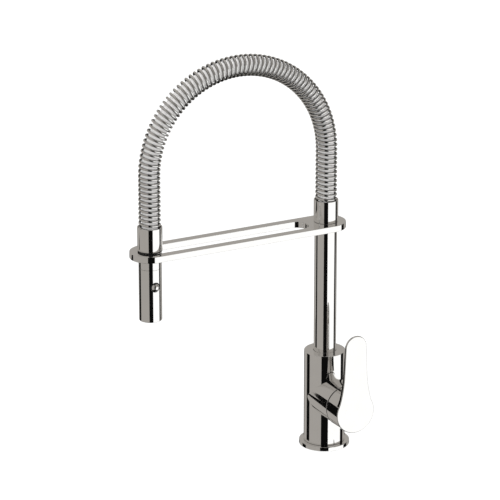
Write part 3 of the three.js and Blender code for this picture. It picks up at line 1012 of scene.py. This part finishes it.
def wrapped_tube(name, centres, first, second, section, material, body, *stands_for, along=None, slot=None):
    """A round tube about a line of centres. first and second span its section.
    section gives its columns, its radius, for all rows or each, and how steeply the radius changes."""
    columns = section["columns"]
    angles = np.linspace(0, FULL_TURN, columns + 1)
    cos = np.cos(angles)[None, :, None]
    sin = np.sin(angles)[None, :, None]
    normals = first[:, None] * cos + second[:, None] * sin
    radii = np.broadcast_to(section["radius"], len(centres))[:, None, None]
    points = centres[:, None] + normals * radii
    ways = np.cross(first, second)
    if "slope" in section:
        normals = unit(normals - ways[:, None] * section["slope"][:, None, None])
    uvs = None
    if along is not None:
        uvs = np.stack(np.meshgrid(angles / FULL_TURN, along), -1)
    skin = Skin().grid(points, normals, uvs)
    for end, facing in ((0, -1), (-1, 1)):
        skin.flat([points[end, :-1]], ways[end] * facing)
    return skin.build(name, material, body, *stands_for, slot=slot)


WIRE_RADIUS = 1.4 * MM
PITCH_PLACES = np.array((0.0, 0.15, 0.28, 0.4, 0.52, 0.76, 0.93, 1.0))
PITCHES = np.array((5.62, 5.58, 5.41, 5.5, 5.71, 5.69, 5.6, 5.6)) * MM
PITCH_STEPS = 4001
STEPS_PER_TURN = 40


def make_spring():
    """A coil wound along the arch, with a pitch that changes slowly along it."""
    fine = np.linspace(WIRE_RADIUS, ARCH_LENGTH - WIRE_RADIUS, PITCH_STEPS)
    pitch = np.interp(fine / ARCH_LENGTH, PITCH_PLACES, PITCHES)
    turns = np.concatenate([[0], np.cumsum(np.diff(fine) / ((pitch[1:] + pitch[:-1]) / 2))])
    count = int(turns[-1] * STEPS_PER_TURN)
    turn = np.linspace(0, turns[-1], count)
    along = np.interp(turn, turns, fine)
    centres, _, outward = arch_line(along)
    sideways = np.array((1.0, 0, 0))
    angle = (turn * FULL_TURN)[:, None]
    radial = outward * np.cos(angle) + sideways * np.sin(angle)
    coil = centres + (spring_radius - WIRE_RADIUS) * radial
    wire_way = unit(np.gradient(coil, axis=0))
    first = unit(radial - wire_way * (radial * wire_way).sum(1)[:, None])
    second = np.cross(wire_way, first)
    section = {"columns": 16, "radius": WIRE_RADIUS}
    # The spring's material paints shade on the inner side of the wire.
    wrapped_tube(
        "spring_coil", coil, first, second, section, "spring_steel", "spout", "arch_spring", along=along
    )


make_spring()

conduit_radius = high("hose_conduit").x
RIB_PITCH = 1.9 * MM
RIB_DEPTH = 0.06 * MM
ROWS_PER_RIB = 6


def make_conduit():
    """A smooth grey conduit with very faint ribs."""
    ribs = round(ARCH_LENGTH / RIB_PITCH)
    along = np.linspace(0, ARCH_LENGTH, ribs * ROWS_PER_RIB + 1)
    centres, ways, outward = arch_line(along)
    phase = along / ARCH_LENGTH * ribs * FULL_TURN
    swing = np.sin(phase)
    size = conduit_radius - RIB_DEPTH * (1 - swing)
    slope = RIB_DEPTH * np.cos(phase) * ribs * FULL_TURN / ARCH_LENGTH
    second = np.cross(ways, outward)
    section = {"columns": 32, "radius": size, "slope": slope}
    names = ("conduit_grey", "spout", "hose_conduit")
    wrapped_tube("ribbed_conduit", centres, outward, second, section, *names, slot="grey_plastic")


make_conduit()

# ---------------------------------------------------------------- the hose that slides out of the dock
hose_radius = radius("drop_hose")
HOSE_ROWS = 41
hose_rows = np.linspace(low("drop_hose").z, high("drop_hose").z, HOSE_ROWS)
hose_centres = np.column_stack([np.zeros(HOSE_ROWS), np.full(HOSE_ROWS, -reach), hose_rows])
wrapped_tube(
    "braided_drop_hose",
    hose_centres,
    np.tile((1.0, 0, 0), (HOSE_ROWS, 1)),
    np.tile((0, 1.0, 0), (HOSE_ROWS, 1)),
    {"columns": 48, "radius": hose_radius},
    "braided_hose",
    "spray_hose",
    "drop_hose",
    along=hose_rows,
)

NIPPLE_RADIUS = 4.6 * MM
nut_radius = radius("hose_nipple")
nut_neck = nut_radius - 1.2 * MM
nut_bottom = handset_top + CLEARANCE  # the swivel nut stands just above the handset
swivel_nut_profile = [
    (0, low("hose_nipple").z),
    (NIPPLE_RADIUS, low("hose_nipple").z, 0.4 * MM),
    (NIPPLE_RADIUS, nut_bottom),
    (nut_radius, nut_bottom, 0.4 * MM),
    (nut_radius, high("hose_nipple").z - 3 * MM, EASED_EDGE),
    (nut_neck, high("hose_nipple").z - 2 * MM, EASED_EDGE),
    (nut_neck, high("hose_nipple").z, 0.4 * MM),
    (0, high("hose_nipple").z),
]
turned(
    "swivel_nut", swivel_nut_profile, spray_line, "chrome", "spray_hose", "hose_nipple", columns=SMALL_ROUND
)

# ---------------------------------------------------------------- handset
SHELL_BORE = 12.1 * MM
SHELL_ROOF = handset_top - 2.3 * MM
NIPPLE_HOLE = 5.0 * MM
BUTTON_HOLE = radius("button_collar") + 0.15 * MM
WINDOW_HALF_HEIGHT = 7.5 * MM
WINDOW_COLUMNS = 24  # of the turned piece's columns, which the window takes the place of
WINDOW_ROWS = 12
PATCH_ROWS = 6  # from the hole's edge to the window's


def window_patch(skin, size, sign):
    """The square part of a tube's wall round the button's hole."""
    half_turn = math.pi * WINDOW_COLUMNS / ROUND
    sideways = np.linspace(-half_turn, half_turn, WINDOW_COLUMNS + 1)
    upwards = np.linspace(-WINDOW_HALF_HEIGHT, WINDOW_HALF_HEIGHT, WINDOW_ROWS + 1)
    right = [(half_turn, z) for z in upwards[:-1]]
    top = [(a, WINDOW_HALF_HEIGHT) for a in sideways[::-1][:-1]]
    left = [(-half_turn, z) for z in upwards[::-1][:-1]]
    bottom = [(a, -WINDOW_HALF_HEIGHT) for a in sideways]
    border = np.array(right + top + left + bottom)
    around = np.arctan2(border[:, 1], border[:, 0] * size)
    hole_y = BUTTON_HOLE * np.cos(around)
    hole = np.column_stack([np.arcsin(hole_y / size), BUTTON_HOLE * np.sin(around)])
    rows = []
    row_normals = []
    for share in np.linspace(0, 1, PATCH_ROWS):
        angle, z = (hole + (border - hole) * share).T
        rows.append(np.column_stack([size * np.cos(angle), size * np.sin(angle) - reach, z + button_height]))
        row_normals.append(at_height(unit_circle(angle), 0) * sign)
    skin.grid(rows, row_normals)
    return rows[0]


def wall_with_window(skin, size, bottom, top, sign):
    """A tube's wall from bottom to top, with the button's window cut in its +X side."""
    half_turn = math.pi * WINDOW_COLUMNS / ROUND
    low_z = button_height - WINDOW_HALF_HEIGHT
    high_z = button_height + WINDOW_HALF_HEIGHT
    whole = np.linspace(-half_turn, FULL_TURN - half_turn, ROUND + 1)
    rest = np.linspace(half_turn, FULL_TURN - half_turn, ROUND - WINDOW_COLUMNS + 1)

    def band(angles, start, end, rows):
        circle = size * unit_circle(angles) - (0, reach)
        normals = at_height(unit_circle(angles), 0) * sign
        grid = [at_height(circle, z) for z in np.linspace(start, end, rows + 1)]
        skin.grid(grid, [normals] * len(grid))

    band(whole, bottom, low_z, 2)
    band(rest, low_z, high_z, WINDOW_ROWS)
    band(whole, high_z, top, 2)
    return window_patch(skin, size, sign)


def make_handset():
    skin = Skin()
    half_turn = math.pi * WINDOW_COLUMNS / ROUND
    angles = np.linspace(-half_turn, FULL_TURN - half_turn, ROUND + 1)
    rim = 0.5 * MM
    outer_hole = wall_with_window(skin, handset_radius, handset_bottom + rim, handset_top - SEAM_EDGE, 1)
    inner_hole = wall_with_window(skin, SHELL_BORE, handset_bottom, SHELL_ROOF, -1)
    hole_normals = np.column_stack([
        np.zeros(len(outer_hole)),
        outer_hole[:, 1] + reach,
        outer_hole[:, 2] - button_height,
    ]) / -BUTTON_HOLE
    skin.grid([outer_hole, inner_hole], [hole_normals] * 2)
    foot = [
        (SHELL_BORE, handset_bottom),
        (handset_radius, handset_bottom, rim),
        (handset_radius, handset_bottom + rim + HAIR),
    ]
    head = [
        (handset_radius, handset_top - SEAM_EDGE - HAIR),
        (handset_radius, handset_top, SEAM_EDGE),
        (NIPPLE_HOLE, handset_top),
        (NIPPLE_HOLE, SHELL_ROOF),
        (SHELL_BORE, SHELL_ROOF),
    ]
    for corners in (foot, head):
        turned_patches(skin, corners, spray_line, closed=False, angles=angles)
    skin.build("handset_casing", "chrome", "spray_head", "handset_shell")


make_handset()

button_back = low("spray_button").x
DOME_HEIGHT = 4.4 * MM
DOME_STEPS = 16


def make_button():
    """A round button with a domed end."""
    skin = Skin()
    shoulder = button_tip - DOME_HEIGHT
    stem = [(0, button_back), (button_radius, button_back, 0.3 * MM), (button_radius, shoulder)]
    turned_patches(skin, stem, button_line, columns=SMALL_ROUND, closed=False)
    around = unit_circle(np.linspace(0, FULL_TURN, SMALL_ROUND + 1))
    move, spin = button_line
    rows = []
    row_normals = []
    for angle in np.linspace(0, math.pi / 2, DOME_STEPS + 1):
        size = button_radius * math.cos(angle)
        rows.append(at_height(size * around, shoulder + DOME_HEIGHT * math.sin(angle)))
        outward, forward = unit(np.array((math.cos(angle) / button_radius, math.sin(angle) / DOME_HEIGHT)))
        row_normals.append(at_height(outward * around, forward))
    skin.grid(move(np.array(rows)), spin(np.array(row_normals)))
    skin.build("domed_button", "chrome", "push_button", "spray_button")


make_button()
seal_ring(
    "button_collar_ring",
    "button_collar",
    button_radius + 0.2 * MM,
    button_line,
    0,
    "spray_head",
    fillets=(0, 0, 0.3, 0.2),
    columns=SMALL_ROUND,
)

BUTTON_WIRE = 0.35 * MM
BUTTON_COIL_TURNS = 5


def make_button_spring():
    """The return spring behind the button."""
    low_x = low("button_spring").x
    high_x = high("button_spring").x
    rows = BUTTON_COIL_TURNS * STEPS_PER_TURN + 1
    angle = np.linspace(0, BUTTON_COIL_TURNS * FULL_TURN, rows)
    radial = np.column_stack([np.zeros(rows), np.cos(angle), np.sin(angle)])
    level = np.linspace(low_x + BUTTON_WIRE, high_x - BUTTON_WIRE, rows)
    axis_points = np.column_stack([level, np.full(rows, -reach), np.full(rows, button_height)])
    centres = axis_points + radial * (radius("button_spring") - BUTTON_WIRE)
    wire_way = unit(np.gradient(centres, axis=0))
    second = unit(np.cross(wire_way, radial))
    section = {"columns": 12, "radius": BUTTON_WIRE}
    coil = wrapped_tube(
        "button_coil", centres, radial, second, section, "steel", "push_button", "button_spring"
    )
    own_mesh(coil)


make_button_spring()

face_radius = radius("spray_face")
face_bottom = low("spray_face").z
face_top = high("spray_face").z
aerator_radius = radius("aerator_cartridge")
spray_plate_profile = [
    (aerator_radius + CLEARANCE, face_bottom, FINE_EDGE),
    (face_radius, face_bottom, EASED_EDGE),
    (face_radius, face_top),
    (aerator_radius + CLEARANCE, face_top),
]
turned(
    "spray_plate",
    spray_plate_profile,
    spray_line,
    "grey_plastic",
    "spray_head",
    "spray_face",
    columns=SMALL_ROUND,
)

NOZZLE_RADIUS = 0.55 * MM
NOZZLE_CIRCLES = ((8.0 * MM, 16, 0.0), (10.1 * MM, 20, 0.5))


def make_nozzles():
    """Soft nozzle tips through the spray plate, standing on one rubber ring behind it."""
    skin = Skin()
    ring_inner = aerator_radius + 0.6 * MM
    ring_outer = 9.1 * MM
    back = low("nozzle_ring").z
    turned_patches(
        skin,
        [(ring_inner, back), (ring_outer, back), (ring_outer, back + 2 * MM), (ring_inner, back + 2 * MM)],
        spray_line,
        columns=SMALL_ROUND,
    )
    tip = handset_bottom + 0.15 * MM
    for circle, count, offset in NOZZLE_CIRCLES:
        for i in range(count):
            angle = FULL_TURN * (i + offset) / count
            corners = [
                (0, tip),
                (NOZZLE_RADIUS, tip, 0.25 * MM),
                (NOZZLE_RADIUS * 1.25, face_top + 0.2 * MM),
                (0, face_top + 0.2 * MM),
            ]
            place = about_z(circle * math.cos(angle), circle * math.sin(angle) - reach)
            turned_patches(skin, corners, place, columns=12, closed=False)
    skin.build("nozzle_tips", "rubber", "spray_head", "nozzle_ring")


make_nozzles()

AERATOR_BARS = 7
BAR_WIDTH = 0.5 * MM


def make_aerator():
    """A rimmed disc whose mouth is crossed by a square lattice."""
    skin = Skin()
    bottom = low("aerator_cartridge").z
    top = high("aerator_cartridge").z
    rim = aerator_radius - 0.9 * MM
    recess = bottom + 1.5 * MM
    corners = [
        (0, recess),
        (rim, recess),
        (rim, bottom, 0.15 * MM),
        (aerator_radius, bottom, 0.25 * MM),
        (aerator_radius, top),
        (0, top),
    ]
    turned_patches(skin, corners, spray_line, columns=SMALL_ROUND, closed=False)
    spacing = 2 * rim / (AERATOR_BARS + 1)
    for i in range(AERATOR_BARS):
        offset = spacing * (i + 1) - rim
        half = math.sqrt(rim ** 2 - offset ** 2)
        for along_x, depth in ((True, 0.4 * MM), (False, 0.5 * MM)):
            lows = np.array((-half, offset - BAR_WIDTH / 2, bottom + depth))
            highs = np.array((half, offset + BAR_WIDTH / 2, recess))
            add_bar(skin, lows, highs, along_x)
    skin.build("aerator_mouth", "grey_plastic", "spray_head", "aerator_cartridge")


def add_bar(skin, lows, highs, along_x):
    for axis in range(3):
        others = [a for a in range(3) if a != axis]
        for value, sign in ((lows[axis], -1), (highs[axis], 1)):
            grid = np.zeros((2, 2, 3))
            grid[..., axis] = value
            for i, u in enumerate((lows, highs)):
                for j, v in enumerate((lows, highs)):
                    grid[i, j, others[0]] = u[others[0]]
                    grid[i, j, others[1]] = v[others[1]]
            normal = np.zeros(3)
            normal[axis] = sign
            if not along_x:
                grid = grid[..., [1, 0, 2]]
                normal = normal[[1, 0, 2]]
            grid[..., 1] -= reach
            skin.grid(grid, np.broadcast_to(normal, grid.shape))


make_aerator()

# ---------------------------------------------------------------- the CAD nodes that stay
slots = {part["node"]: part["material_slot"] for part in frame["record"]["subparts"]}
for name, node in frame["nodes"].items():
    if node.hide_render:
        continue
    node.data.materials.clear()
    node.data.materials.append(MATERIALS[slots[name]])
